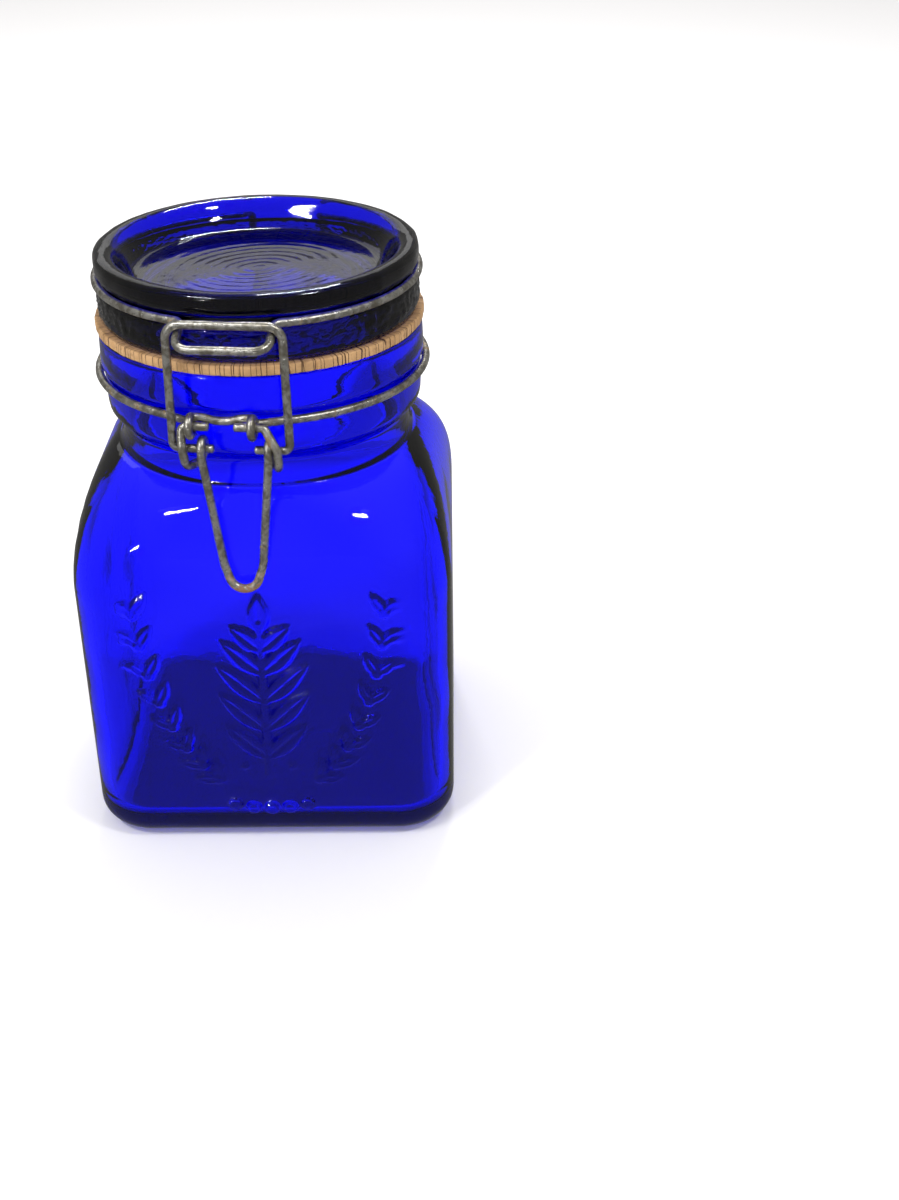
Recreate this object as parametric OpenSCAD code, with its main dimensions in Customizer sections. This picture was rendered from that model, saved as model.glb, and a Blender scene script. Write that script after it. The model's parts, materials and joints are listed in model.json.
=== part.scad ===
// Square glass storage jar with a glass lid, a rubber gasket and an over-centre wire bail clamp.
// Stands on z = 0. The jar's vertical axis is the Z axis and the clamp is on the -Y side.

/* [Glass body] */
// Outside width of the square body
body_w = 112; // [104:1:136]
// Radius of the body's upright corners
corner_r = 17.5; // [10:0.5:30]
// Thickness of the side walls
wall_t = 4; // [2.5:0.5:6]
// Thickness of the floor
floor_t = 7; // [4:0.5:12]
// Radius where the walls turn under to the base
heel_r = 8; // [4:0.5:12]
// Height at which the walls start to round in
wall_h = 82; // [50:1:160]
// Height of the rounded shoulder
shoulder_h = 36; // [25:1:50]

/* [Neck and mouth] */
// Inside radius of the mouth
mouth_r = 38.5; // [34:0.5:41]
// Glass between the mouth and the outside of the rim
rim_t = 9.3; // [7:0.1:12]
// Height from the top of the shoulder to the top of the rim
neck_h = 33.5; // [28:0.5:50]
// Height of the waist between the shoulder and the collar
waist_h = 9.5; // [6:0.5:12]
// How far the waist is inside the rim
waist_in = 4.3; // [2:0.1:7]

/* [Lid] */
// Height of the lid above the gasket
lid_h = 19.5; // [17:0.5:26]
// How far the lid's rim is inside the jar's rim
lid_in = 0.6; // [0:0.1:2]
// Depth of the round recess in the top of the lid
recess_d = 8.2; // [5:0.1:10]
// Width of the lid's flat rim
lid_rim = 5.2; // [3:0.1:8]
// Thickness of the lid's middle panel
panel_t = 6.2; // [4:0.1:8]
// How far the lid's boss reaches down into the mouth
boss_h = 5.2; // [3:0.1:8]

/* [Gasket] */
// Thickness of the rubber gasket
gasket_t = 3; // [2:0.1:4]
// How far the gasket stands out past the rim
gasket_out = 0.5; // [0:0.1:2]
// Length of the pull tab past the gasket's edge
tab_l = 12; // [6:0.5:16]
// Width of the pull tab
tab_w = 16; // [10:0.5:22]
// Direction of the pull tab, counted from the +X side towards the back
tab_turn = 52; // [20:1:52]

/* [Wire] */
// Wire diameter
wire_d = 2.5; // [2:0.1:3]
// Running clearance of a wire pin in a wire eye
pin_gap = 0.08; // [0.02:0.01:0.1]
// Angle by which the whole clamp is turned round the neck
clamp_turn = -5; // [-8:0.5:8]
// Distance of the neck wire below the top of the rim
wire_drop = 13.3; // [12:0.1:16]
// Distance of the lid wire below the top of the lid
lid_wire_drop = 8; // [7:0.1:9]

/* [Clamp] */
// Distance from the middle of one eye to the middle of the other
eye_span = 17.3; // [15:0.1:22]
// Sideways offset of the front eyes, so one lever leg passes inside and one outside
eye_shift = -2.25; // [-3:0.05:-2]
// Distance from the lever's fulcrum to the bail's pins
crank = 7; // [6.8:0.1:9]
// How far the pins sit behind the fulcrum when the clamp is closed
over_centre = 0.7; // [0.2:0.1:1.2]
// Length of the lever's handle, from the pins down to its tip
handle_l = 39.7; // [30:0.1:48]
// Gap between the body's front face and the handle's tip
tip_gap = 2; // [1:0.1:8]
// Gap between the lever and the bail's feet beside it
bail_gap = 0.3; // [0.3:0.1:2]
// Gap between the tongue's legs and the bail's legs outside them
tongue_gap = 0.6; // [0.4:0.1:3]
// How far the tongue stands out from the lid wire
tongue_out = 10; // [8:0.1:14]
// How far the tongue dips on its way out
tongue_dip = 4.2; // [3:0.1:8]
// Gap between the bail's bar and the tongue's legs
hook_gap = 0.3; // [0.1:0.05:0.5]

/* [Hidden] */
$fn = 48;
steps = 72;
half = body_w / 2;
rim_r = mouth_r + rim_t;
waist_r = rim_r - waist_in;
collar_r = rim_r - 0.7;
shoulder_z = wall_h + shoulder_h;
rim_z = shoulder_z + neck_h;
neck_wire_z = rim_z - wire_drop;
gasket_r = rim_r + gasket_out;
lid_z = rim_z + gasket_t;
lid_top = lid_z + lid_h;
lid_r = rim_r - lid_in;
groove_r = lid_r - 1.6;
boss_r = mouth_r - 1.6;
wire_r = wire_d / 2;
eye_r = wire_d + pin_gap;
hook_w = eye_r + 0.05;
neck_wire_r = collar_r + 0.25 + wire_r;
lid_wire_r = groove_r + 0.15 + wire_r;
lid_wire_z = lid_top - lid_wire_drop;
side_gap = 0.25;
overlap = 0.1;
thinner = 0.01;
// The fulcrum through the front eyes, and the same distance behind for the lid's hinge
pivot_y = neck_wire_r + eye_r + 0.82;
pivot_z = neck_wire_z;
// How far a wire pin reaches past the middle of its eye
pin_reach = wire_d + 2.4;
// The bail's pins, in the lever's two hooks
pin_y = over_centre - pivot_y;
pin_z = pivot_z - crank;
// The clamp from side to side: the eyes, the lever's hooks and legs, the bail and the tongue
left_eye = eye_shift - eye_span / 2;
right_eye = eye_shift + eye_span / 2;
left_hook = left_eye + wire_d + 0.3;
right_hook = right_eye + wire_d + 1.8;
left_arm = left_eye - wire_d - 0.2;
right_arm = right_eye + wire_d + 0.7;
left_leg = left_hook - wire_d - 2;
right_leg = right_hook + wire_d + 0.4;
foot_in = 0.5;
bail_foot = max(right_leg, -left_arm) + wire_d + bail_gap;
bail_half = bail_foot - foot_in;
tongue_half = bail_half - wire_d - tongue_gap;
// The bridge between two eyes
bridge_lead = 2.8;
bridge_rise = 1.9;
bridge_half = 1.6;
bridge_in = 2.4;
bridge_low = 0.7;
// The lever's handle
hook_end = 1.7;
handle_bend = 8;
tip_bend = 4.4;
tip_slant = 18;
waist_half = 5.6;
tip_mid = (left_hook + right_hook) / 2 + 1.2;
tip_y = -half - tip_gap - wire_r;
tip_z = pin_z - handle_l;
under_pin = 4.6;
// The hook of the bail over the tongue
ring_lead = 4.2;
tongue_y = -sqrt(pow(lid_wire_r, 2) - pow(tongue_half, 2)) - 0.2;
hook_y = tongue_y - tongue_out / 2 + 0.1;
tongue_slope = atan(tongue_dip / tongue_out);
hook_z = lid_wire_z - (tongue_y - hook_y) * tan(tongue_slope) + (wire_d + hook_gap) / cos(tongue_slope);

// Distance from the axis to a rounded square of half-width w and corner radius c, at an angle.
// With c equal to w it is a circle.
function turned(a) = abs(((a + 45) % 90) - 45);
function reach(w, c, a) =
    let (q = w - c, b = turned(a))
    w * tan(b) <= q ? w / cos(b) :
    q * (cos(b) + sin(b)) + sqrt(c * c - pow(q * (sin(b) - cos(b)), 2));
function ring(w, c, z) =
    [for (i = [0 : steps - 1])
        let (a = 360 * i / steps, r = reach(w, c, a))
        [r * cos(a), r * sin(a), z]];
function round_at(r, z) = [r, r, z];
function mix(a, b, t) = a + (b - a) * t;
function backwards(list) = [for (i = [len(list) - 1 : -1 : 0]) list[i]];

// One shoulder: the walls round in along a quarter ellipse, and the corners open into a circle
function shoulder(w, c, r_top, z, h, to) =
    [for (i = [0 : 7])
        let (a = to * i / 7, s = (1 - cos(a)) / (1 - cos(to)), here = mix(w, r_top, s))
        [here, mix(c, here, s), z + h * sin(a) / sin(to)]];
function heel(w, c, r, z) =
    [for (i = [0 : 4])
        let (a = 90 * i / 4, in = r * (1 - sin(a)))
        [w - in, max(c - in, 3), z + r * (1 - cos(a))]];

outside = concat(
    heel(half, corner_r, heel_r, 0),
    shoulder(half, corner_r, waist_r + 1.5, wall_h, shoulder_h - 2, 76),
    [
        round_at(waist_r + 0.7, shoulder_z - 0.8),
        round_at(waist_r + 0.2, shoulder_z + 0.8),
        round_at(waist_r, shoulder_z + 3),
        round_at(waist_r, shoulder_z + waist_h - 3.5),
        round_at(waist_r + 0.8, shoulder_z + waist_h - 1.6),
        round_at(collar_r - 0.9, shoulder_z + waist_h - 0.4),
        round_at(collar_r, shoulder_z + waist_h + 0.8),
        round_at(collar_r, neck_wire_z + wire_r + 0.4),
        round_at(rim_r + 0.2, neck_wire_z + wire_r + 1.1),
        round_at(rim_r + 0.3, neck_wire_z + wire_r + 2.4),
        round_at(rim_r, rim_z - 1.8),
        round_at(rim_r - 0.5, rim_z - 0.5),
        round_at(rim_r - 1.6, rim_z)
    ]
);
inside = concat(
    [
        round_at(mouth_r + 1.5, rim_z),
        round_at(mouth_r + 0.4, rim_z - 0.5),
        round_at(mouth_r, rim_z - 1.8)
    ],
    backwards(shoulder(half - wall_t, corner_r - wall_t, mouth_r, wall_h, shoulder_h - 3, 82)),
    backwards(heel(half - wall_t, corner_r - wall_t, heel_r, floor_t))
);
skin = concat(outside, inside);
last = len(skin) - 1;

module jar_body() {
    points = concat(
        [[0, 0, 0]],
        [for (s = skin) each ring(s[0], s[1], s[2])],
        [[0, 0, floor_t]]
    );
    faces = concat(
        [for (i = [0 : steps - 1]) [0, 1 + i, 1 + (i + 1) % steps]],
        [for (k = [0 : last - 1], i = [0 : steps - 1])
            let (a = 1 + k * steps + i, b = 1 + k * steps + (i + 1) % steps)
            [a, a + steps, b + steps, b]],
        [for (i = [0 : steps - 1])
            [len(points) - 1, 1 + last * steps + (i + 1) % steps, 1 + last * steps + i]]
    );
    color([0.05, 0.04, 0.62]) polyhedron(points, faces, convexity = 6);
}

// The clamp and everything that turns with it, at its angle round the neck
module clamp() {
    rotate([0, 0, clamp_turn]) children();
}

function unit(v) = v / norm(v);

// A straight piece of wire from a to b. It is a hair thinner than the bends and runs a little
// way into them, so that the two always join.
module rod(a, b, r) {
    z = unit(b - a);
    x = unit(cross(abs(z[2]) < 0.9 ? [0, 0, 1] : [1, 0, 0], z));
    y = cross(z, x);
    start = a - z * overlap;
    multmatrix([
        [x[0], y[0], z[0], start[0]],
        [x[1], y[1], z[1], start[1]],
        [x[2], y[2], z[2], start[2]],
        [0, 0, 0, 1]
    ]) cylinder(r = r - thinner, h = norm(b - a) + 2 * overlap);
}

// The bend of a wire that comes from a, turns at p and leaves to b
module elbow(a, p, b, bend, r) {
    d1 = unit(p - a);
    d2 = unit(b - p);
    turn = acos(d1 * d2);
    n = unit(cross(d1, d2));
    centre = p + unit(d2 - d1) * bend / cos(turn / 2);
    x = unit(p - d1 * bend * tan(turn / 2) - centre);
    y = cross(n, x);
    multmatrix([
        [x[0], y[0], n[0], centre[0]],
        [x[1], y[1], n[1], centre[1]],
        [x[2], y[2], n[2], centre[2]],
        [0, 0, 0, 1]
    ]) rotate_extrude(angle = turn) translate([bend, 0]) circle(r);
}

function setback(p, i, bends) =
    i == 0 || i == len(p) - 1 ? 0 :
    bends[i - 1] * tan(acos(unit(p[i] - p[i - 1]) * unit(p[i + 1] - p[i])) / 2);

// A wire along the points p, with one bend radius for each corner
module wire(p, bends, r = wire_r) {
    for (i = [0 : len(p) - 2]) {
        d = unit(p[i + 1] - p[i]);
        rod(p[i] + d * setback(p, i, bends), p[i + 1] - d * setback(p, i + 1, bends), r);
    }
    for (i = [1 : len(p) - 2]) elbow(p[i - 1], p[i], p[i + 1], bends[i - 1], r);
}

// A stretch of ring from angle a to angle b
module ring_wire(r, z, a, b) {
    translate([0, 0, z]) rotate([0, 0, a])
        rotate_extrude(angle = b - a) translate([r, 0]) circle(wire_r);
}

// One turn of wire with its bore along X
module eye(x) {
    translate([x, -pivot_y, pivot_z]) rotate([0, 90, 0])
        rotate_extrude() translate([eye_r, 0]) circle(wire_r);
}

// A pair of eyes and the wire that bridges them on the side of the glass
module eye_pair(shift) {
    from = eye_r * [sin(30), cos(30)];
    reach_x = eye_span / 2;
    for (s = [-1, 1]) eye(shift + s * reach_x);
    wire([
        [shift - reach_x, from[0] - pivot_y, pivot_z + from[1]],
        [shift - reach_x + bridge_lead, bridge_rise - pivot_y, pivot_z + bridge_rise],
        [shift - bridge_half, bridge_in - pivot_y, pivot_z + bridge_low],
        [shift + bridge_half, bridge_in - pivot_y, pivot_z + bridge_low],
        [shift + reach_x - bridge_lead, bridge_rise - pivot_y, pivot_z + bridge_rise],
        [shift + reach_x, from[0] - pivot_y, pivot_z + from[1]]
    ], [4, 4, 4, 4]);
}

// The angle of the point on a ring of radius r that is x to the side
function end_angle(x, r) = acos(x / r);

// The angle at which the neck wire leaves its ring along a tangent, to reach the eye at x
function leave(x, side) =
    let (near = pivot_y - eye_r)
    atan2(-near, x) + side * acos(neck_wire_r / norm([x, near]));

// The straight lead from the neck wire's ring to the eye at x
module lead(x, side) {
    a = leave(x, side);
    rod([neck_wire_r * cos(a), neck_wire_r * sin(a), neck_wire_z], [x, eye_r - pivot_y, pivot_z], wire_r);
}

module neck_wire() {
    front = [left_eye, right_eye];
    back = [-eye_span / 2, eye_span / 2];
    color([0.55, 0.55, 0.52]) clamp() {
        eye_pair(eye_shift);
        lead(front[0], -1);
        lead(front[1], 1);
        rotate([0, 0, 180]) {
            eye_pair(0);
            lead(back[0], -1);
            lead(back[1], 1);
        }
        ring_wire(neck_wire_r, neck_wire_z, leave(front[1], 1), leave(back[0], -1) + 180);
        ring_wire(neck_wire_r, neck_wire_z, leave(back[1], 1) + 180, leave(front[0], -1) + 360);
    }
}

module lid() {
    recess_z = lid_top - recess_d;
    recess_r = lid_r - lid_rim;
    under_z = recess_z - panel_t;
    boss_z = lid_z - boss_h;
    color([0.04, 0.03, 0.45]) rotate_extrude($fn = 96) polygon([
        [0, recess_z],
        [recess_r - 7.4, recess_z],
        [recess_r - 5.6, recess_z + 0.6],
        [recess_r - 3.6, recess_z + 2.6],
        [recess_r - 1.2, lid_top - 2.2],
        [recess_r - 0.2, lid_top - 0.8],
        [recess_r + 1.2, lid_top - 0.1],
        [recess_r + 2.6, lid_top],
        [lid_r - 0.9, lid_top - 0.3],
        [lid_r, lid_top - 1.4],
        [lid_r, lid_top - 5],
        [lid_r - 0.6, lid_top - 5.9],
        [groove_r, lid_wire_z + 1.3],
        [groove_r, lid_wire_z - 1.2],
        [lid_r - 0.8, lid_wire_z - 1.9],
        [lid_r - 0.2, lid_wire_z - 2.8],
        [lid_r - 0.2, lid_z + 1.6],
        [lid_r - 0.6, lid_z + 0.6],
        [lid_r - 1.8, lid_z],
        [boss_r, lid_z],
        [boss_r, lid_z - 2.8],
        [boss_r - 1.3, boss_z + 0.8],
        [boss_r - 3, boss_z],
        [boss_r - 5.4, boss_z],
        [boss_r - 6.4, boss_z + 0.8],
        [boss_r - 7.6, under_z - 1.6],
        [boss_r - 10, under_z],
        [0, under_z]
    ]);
}

module gasket() {
    hole_r = boss_r + 0.1;
    edge = 0.4;
    color([0.78, 0.55, 0.3]) {
        rotate_extrude($fn = 96) polygon([
            [hole_r, rim_z],
            [gasket_r - edge, rim_z],
            [gasket_r, rim_z + edge],
            [gasket_r, lid_z - edge],
            [gasket_r - edge, lid_z],
            [hole_r, lid_z]
        ]);
        rotate([0, 0, tab_turn]) translate([0, 0, rim_z]) linear_extrude(gasket_t) difference() {
            union() {
                translate([gasket_r - 2, -tab_w / 2]) square([tab_l + 2 - tab_w / 2, tab_w]);
                translate([gasket_r + tab_l - tab_w / 2, 0]) circle(d = tab_w);
            }
            circle(r = gasket_r - 2, $fn = 96);
        }
    }
}

module lid_wire() {
    from_x = tongue_half + ring_lead;
    back_x = eye_span / 2 + wire_d + side_gap;
    far_x = back_x + 5;
    far_y = sqrt(pow(lid_wire_r, 2) - far_x * far_x);
    leg_y = gasket_r + 0.6 + wire_r;
    color([0.6, 0.6, 0.57]) clamp() {
        wire([
            [-from_x, -sqrt(pow(lid_wire_r, 2) - from_x * from_x), lid_wire_z],
            [-tongue_half, tongue_y, lid_wire_z],
            [-tongue_half, tongue_y - tongue_out, lid_wire_z - tongue_dip],
            [tongue_half, tongue_y - tongue_out, lid_wire_z - tongue_dip],
            [tongue_half, tongue_y, lid_wire_z],
            [from_x, -sqrt(pow(lid_wire_r, 2) - from_x * from_x), lid_wire_z]
        ], [2.4, 4.2, 4.2, 2.4]);
        for (s = [-1, 1]) {
            wire([
                [s * far_x, far_y, lid_wire_z],
                [s * (far_x - 3.2), far_y + 3.2 * far_x / far_y, lid_wire_z],
                [s * back_x, leg_y, lid_wire_z - 1.2],
                [s * back_x, pivot_y, pivot_z],
                [s * (eye_span / 2 - pin_reach + 0.3), pivot_y, pivot_z]
            ], [2, 2.4, 1.6]);
        }
        front_end = end_angle(from_x, lid_wire_r);
        back_end = end_angle(far_x, lid_wire_r);
        ring_wire(lid_wire_r, lid_wire_z, -front_end, back_end);
        ring_wire(lid_wire_r, lid_wire_z, 180 - back_end, 180 + front_end);
    }
}

// Half of the lever, from the stub that lies in an eye to the top of the handle. It runs along
// the X places of the stub's cut end, the arm beside the eye, the leg down to the turn under
// the pin, the way back and the hook that goes over the pin.
function lever_half(stub_x, arm_x, knee_x, leg_x, back_x, hook_x) = [
    [stub_x, -pivot_y, pivot_z],
    [arm_x, -pivot_y, pivot_z],
    [knee_x, pin_y - wire_d - 0.3, pin_z + 1.2],
    [leg_x, pin_y - wire_d - 0.2, pin_z - under_pin],
    [back_x, pin_y + 1.5, pin_z - under_pin],
    [hook_x, pin_y + hook_w, pin_z - 1.3],
    [hook_x, pin_y + hook_w, pin_z + eye_r],
    [hook_x, pin_y - hook_w, pin_z + eye_r],
    [hook_x, pin_y - hook_w, pin_z - hook_end]
];

module lever() {
    left = lever_half(left_eye + pin_reach, left_arm, left_leg - 0.7, left_leg, left_hook - 1.3, left_hook);
    right = lever_half(right_eye - pin_reach, right_arm, right_leg - 0.3, right_leg,
        right_hook + 0.9, right_hook);
    // The legs close in to a round tip. Its corner lies below the wire's lowest point.
    corner_z = tip_z - tip_bend * (1 / sin(tip_slant) - 1);
    waist_z = corner_z + waist_half / tan(tip_slant);
    top_y = pin_y - hook_w;
    waist_y = mix(tip_y, top_y, (waist_z - tip_z) / handle_l);
    corner_y = mix(tip_y, top_y, (corner_z - tip_z) / handle_l);
    tip = [
        [tip_mid - waist_half, waist_y, waist_z],
        [tip_mid, corner_y, corner_z],
        [tip_mid + waist_half, waist_y, waist_z]
    ];
    // The bend between hook and handle takes at most half of the hook's end.
    lean = acos(unit(tip[0] - left[len(left) - 1]) * [0, 0, -1]);
    hook_bend = min(handle_bend, hook_end / 2 / tan(lean / 2));
    half_bends = [1.6, 3, 2, 2, 2, eye_r, eye_r, hook_bend, 12];
    bends = concat(half_bends, [tip_bend], backwards(half_bends));
    color([0.5, 0.5, 0.47]) clamp() wire(concat(left, tip, backwards(right)), bends);
}

module bail() {
    color([0.62, 0.62, 0.58]) clamp() wire([
        [left_hook + wire_d + 0.4, pin_y, pin_z],
        [-bail_foot, pin_y, pin_z],
        [-bail_half, hook_y, hook_z],
        [bail_half, hook_y, hook_z],
        [bail_foot, pin_y, pin_z],
        [right_hook - wire_d - 1.4, pin_y, pin_z]
    ], [1.8, 4, 4, 1.8]);
}

jar_body();
neck_wire();
lid();
gasket();
lid_wire();
lever();
bail();
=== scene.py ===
import json
import math

import bpy
import numpy as np
from mathutils import Matrix, Vector


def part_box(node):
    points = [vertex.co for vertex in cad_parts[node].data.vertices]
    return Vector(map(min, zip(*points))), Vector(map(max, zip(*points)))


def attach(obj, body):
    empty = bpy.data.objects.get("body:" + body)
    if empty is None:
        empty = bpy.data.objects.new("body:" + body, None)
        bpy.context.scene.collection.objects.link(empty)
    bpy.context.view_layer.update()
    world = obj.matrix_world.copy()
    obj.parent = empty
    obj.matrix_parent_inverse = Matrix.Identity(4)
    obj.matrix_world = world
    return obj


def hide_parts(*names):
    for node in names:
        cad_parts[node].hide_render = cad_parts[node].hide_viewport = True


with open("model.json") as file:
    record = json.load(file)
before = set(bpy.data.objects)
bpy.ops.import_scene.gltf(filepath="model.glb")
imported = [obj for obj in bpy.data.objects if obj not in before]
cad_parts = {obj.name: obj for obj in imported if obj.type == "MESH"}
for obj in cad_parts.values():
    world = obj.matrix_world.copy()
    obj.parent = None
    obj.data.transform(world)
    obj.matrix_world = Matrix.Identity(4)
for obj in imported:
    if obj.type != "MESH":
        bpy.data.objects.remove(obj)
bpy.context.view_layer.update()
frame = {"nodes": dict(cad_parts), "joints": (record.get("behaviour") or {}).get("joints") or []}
mm = 0.001
joints = {j["name"]: j for j in frame["joints"]}
print("frame loaded:", ", ".join(sorted(frame["nodes"])))


# camera, a little above the jar and in front of it
shot = {
    "place": (0.0580, -0.4786, 0.3303),
    "down": 30.09,
    "turn": 0.36,
    "tilt": -0.60,
    "lens": 51.0,
    "sensor": 36.0,
    "near": 0.01,
}


def makeCamera():
    data = bpy.data.cameras.new("camera")
    data.lens = shot["lens"]
    data.sensor_width = shot["sensor"]
    data.clip_start = shot["near"]
    cam = bpy.data.objects.new("camera", data)
    bpy.context.scene.collection.objects.link(cam)
    aim = (
        Matrix.Rotation(math.radians(shot["turn"]), 4, "Z")
        @ Matrix.Rotation(math.radians(90 - shot["down"]), 4, "X")
        @ Matrix.Rotation(math.radians(shot["tilt"]), 4, "Z")
    )
    cam.matrix_world = Matrix.Translation(shot["place"]) @ aim
    bpy.context.scene.camera = cam


# pale floor, a bright room and a few soft lamps
studio = {
    "floorSize": 8.0,
    "floorColour": (0.9, 0.9, 0.91, 1),
    "floorRough": 0.9,
    "roomColour": (1.0, 0.98, 0.96, 1),
    "roomStrength": 0.75,
    "roomInReflections": 0.22,
    "bounces": 20,        # thick glass needs more than the usual twelve
    "lamps": [
        # name, place, aimed at, width, height, watts
        ("lampLeft", (-0.50, -0.50, 1.05), (0, 0, 0.1), 0.36, 0.06, 5.0),
        ("lampRight", (0.50, -0.35, 1.05), (0, 0, 0.1), 0.14, 0.06, 3.0),
        ("lampBack", (0.05, 0.70, 1.10), (0, 0, 0.12), 0.34, 0.05, 7.0),
        ("lampCard", (-0.35, 1.45, 0.95), (0, 0, 0.17), 1.30, 0.60, 1.6),
        ("lampFront", (-0.80, -1.05, 0.60), (0, 0, 0.12), 0.12, 0.08, 3.0),
    ],
}


def makeFloor():
    s = studio["floorSize"] / 2
    floor = bpy.data.meshes.new("floor")
    floor.from_pydata([(-s, -s, 0), (s, -s, 0), (s, s, 0), (-s, s, 0)], [], [(0, 1, 2, 3)])
    mat = bpy.data.materials.new("paleFloor")
    mat.use_nodes = True
    shader = mat.node_tree.nodes["Principled BSDF"]
    shader.inputs["Base Color"].default_value = studio["floorColour"]
    shader.inputs["Roughness"].default_value = studio["floorRough"]
    floor.materials.append(mat)
    obj = bpy.data.objects.new("floor", floor)
    bpy.context.scene.collection.objects.link(obj)
    obj.visible_glossy = False      # keeps the white floor out of the reflections


def makeRoom():
    world = bpy.data.worlds.new("room")
    world.use_nodes = True
    tree = world.node_tree
    back = tree.nodes["Background"]
    back.inputs["Color"].default_value = studio["roomColour"]
    # the room is bright through the glass and dimmer in what its outside reflects
    path = tree.nodes.new("ShaderNodeLightPath")
    outside = tree.nodes.new("ShaderNodeMath")
    outside.operation = "LESS_THAN"
    outside.inputs[1].default_value = 0.5       # no pass through glass yet
    tree.links.new(path.outputs["Transmission Depth"], outside.inputs[0])
    both = tree.nodes.new("ShaderNodeMath")
    both.operation = "MULTIPLY"
    tree.links.new(path.outputs["Is Glossy Ray"], both.inputs[0])
    tree.links.new(outside.outputs[0], both.inputs[1])
    dim = tree.nodes.new("ShaderNodeMix")
    dim.inputs[2].default_value = studio["roomStrength"]
    dim.inputs[3].default_value = studio["roomInReflections"]
    tree.links.new(both.outputs[0], dim.inputs[0])
    tree.links.new(dim.outputs[0], back.inputs["Strength"])
    bpy.context.scene.world = world


def makeLamps():
    for name, place, aim, width, height, watts in studio["lamps"]:
        data = bpy.data.lights.new(name, "AREA")
        data.shape = "RECTANGLE"
        data.size = width
        data.size_y = height
        data.energy = watts
        lamp = bpy.data.objects.new(name, data)
        lamp.location = place
        lamp.rotation_mode = "QUATERNION"
        lamp.rotation_quaternion = (Vector(aim) - Vector(place)).to_track_quat("-Z", "Y")
        bpy.context.scene.collection.objects.link(lamp)


def makeStudio():
    makeFloor()
    makeRoom()
    makeLamps()
    scene = bpy.context.scene
    scene.view_settings.view_transform = "Standard"
    scene.cycles.max_bounces = studio["bounces"]
    scene.cycles.transmission_bounces = studio["bounces"]


makeCamera()
makeStudio()
print("camera and studio ready")


# small helpers for shader nodes
def addNode(tree, kind, **values):
    made = tree.nodes.new(kind)
    for key, value in values.items():
        setattr(made, key, value)
    return made


def feed(tree, target, source):
    # a socket is linked, anything else is set as the target's own value
    if isinstance(source, bpy.types.NodeSocket):
        tree.links.new(source, target)
    else:
        target.default_value = source


def maths(tree, what, a, b=0.0):
    made = addNode(tree, "ShaderNodeMath", operation=what)
    feed(tree, made.inputs[0], a)
    feed(tree, made.inputs[1], b)
    return made.outputs[0]


def blendColour(tree, amount, a, b):
    made = addNode(tree, "ShaderNodeMix", data_type="RGBA")
    feed(tree, made.inputs[0], amount)
    feed(tree, made.inputs[6], a)
    feed(tree, made.inputs[7], b)
    return made.outputs[2]


def blendValue(tree, amount, a, b):
    made = addNode(tree, "ShaderNodeMix", data_type="FLOAT")
    feed(tree, made.inputs[0], amount)
    feed(tree, made.inputs[2], a)
    feed(tree, made.inputs[3], b)
    return made.outputs[0]


def window(tree, value, low, high):
    # 0 below low, 1 above high
    made = addNode(tree, "ShaderNodeMapRange", interpolation_type="SMOOTHSTEP")
    feed(tree, made.inputs["Value"], value)
    feed(tree, made.inputs["From Min"], low)
    feed(tree, made.inputs["From Max"], high)
    return made.outputs["Result"]


def grainOf(tree, where, scale, detail=3.0, rough=0.5, twist=0.0):
    made = addNode(tree, "ShaderNodeTexNoise")
    feed(tree, made.inputs["Vector"], where)
    feed(tree, made.inputs["Scale"], scale)
    made.inputs["Detail"].default_value = detail
    made.inputs["Roughness"].default_value = rough
    made.inputs["Distortion"].default_value = twist
    return made.outputs["Fac"]


def placeOf(tree):
    return addNode(tree, "ShaderNodeTexCoord").outputs["Object"]


def makeGroup(name, inputs, outputs):
    tree = bpy.data.node_groups.new(name, "ShaderNodeTree")
    for key, kind, value in inputs:
        socket = tree.interface.new_socket(key, in_out="INPUT", socket_type=kind)
        socket.default_value = value
    for key, kind in outputs:
        tree.interface.new_socket(key, in_out="OUTPUT", socket_type=kind)
    start = tree.nodes.new("NodeGroupInput")
    end = tree.nodes.new("NodeGroupOutput")
    return tree, start.outputs, end.inputs


def useGroup(tree, group, **values):
    made = tree.nodes.new("ShaderNodeGroup")
    made.node_tree = group
    for key, value in values.items():
        made.inputs[key].default_value = value
    return made.outputs


def newMaterial(name):
    mat = bpy.data.materials.new(name)
    mat.use_nodes = True
    return mat, mat.node_tree, mat.node_tree.nodes["Principled BSDF"]


def bumpFrom(tree, height, distance):
    made = addNode(tree, "ShaderNodeBump")
    feed(tree, made.inputs["Height"], height)
    made.inputs["Distance"].default_value = distance
    return made.outputs["Normal"]


number = "NodeSocketFloat"
colour = "NodeSocketColor"


# hand marks in soft clouds, for anything glossy
def makeSmudge():
    tree, given, out = makeGroup(
        "smudge",
        [("scale", number, 60.0), ("clean", number, 0.02), ("marked", number, 0.12)],
        [("roughness", number)],
    )
    where = placeOf(tree)
    wide = grainOf(tree, where, given["scale"], 4.0, 0.6, 1.2)
    mask = window(tree, wide, 0.50, 0.74)
    feed(tree, out["roughness"], blendValue(tree, mask, given["clean"], given["marked"]))
    return tree


# the slow and the fine ripple of pressed glass
def makeRipple():
    tree, given, out = makeGroup(
        "ripple",
        [("scale", number, 45.0), ("fine", number, 260.0), ("fineShare", number, 0.15)],
        [("height", number)],
    )
    where = placeOf(tree)
    slow = grainOf(tree, where, given["scale"], 1.0, 0.4)
    fine = grainOf(tree, where, given["fine"], 2.0, 0.5)
    feed(tree, out["height"], maths(tree, "ADD", slow, maths(tree, "MULTIPLY", fine, given["fineShare"])))
    return tree


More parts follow.
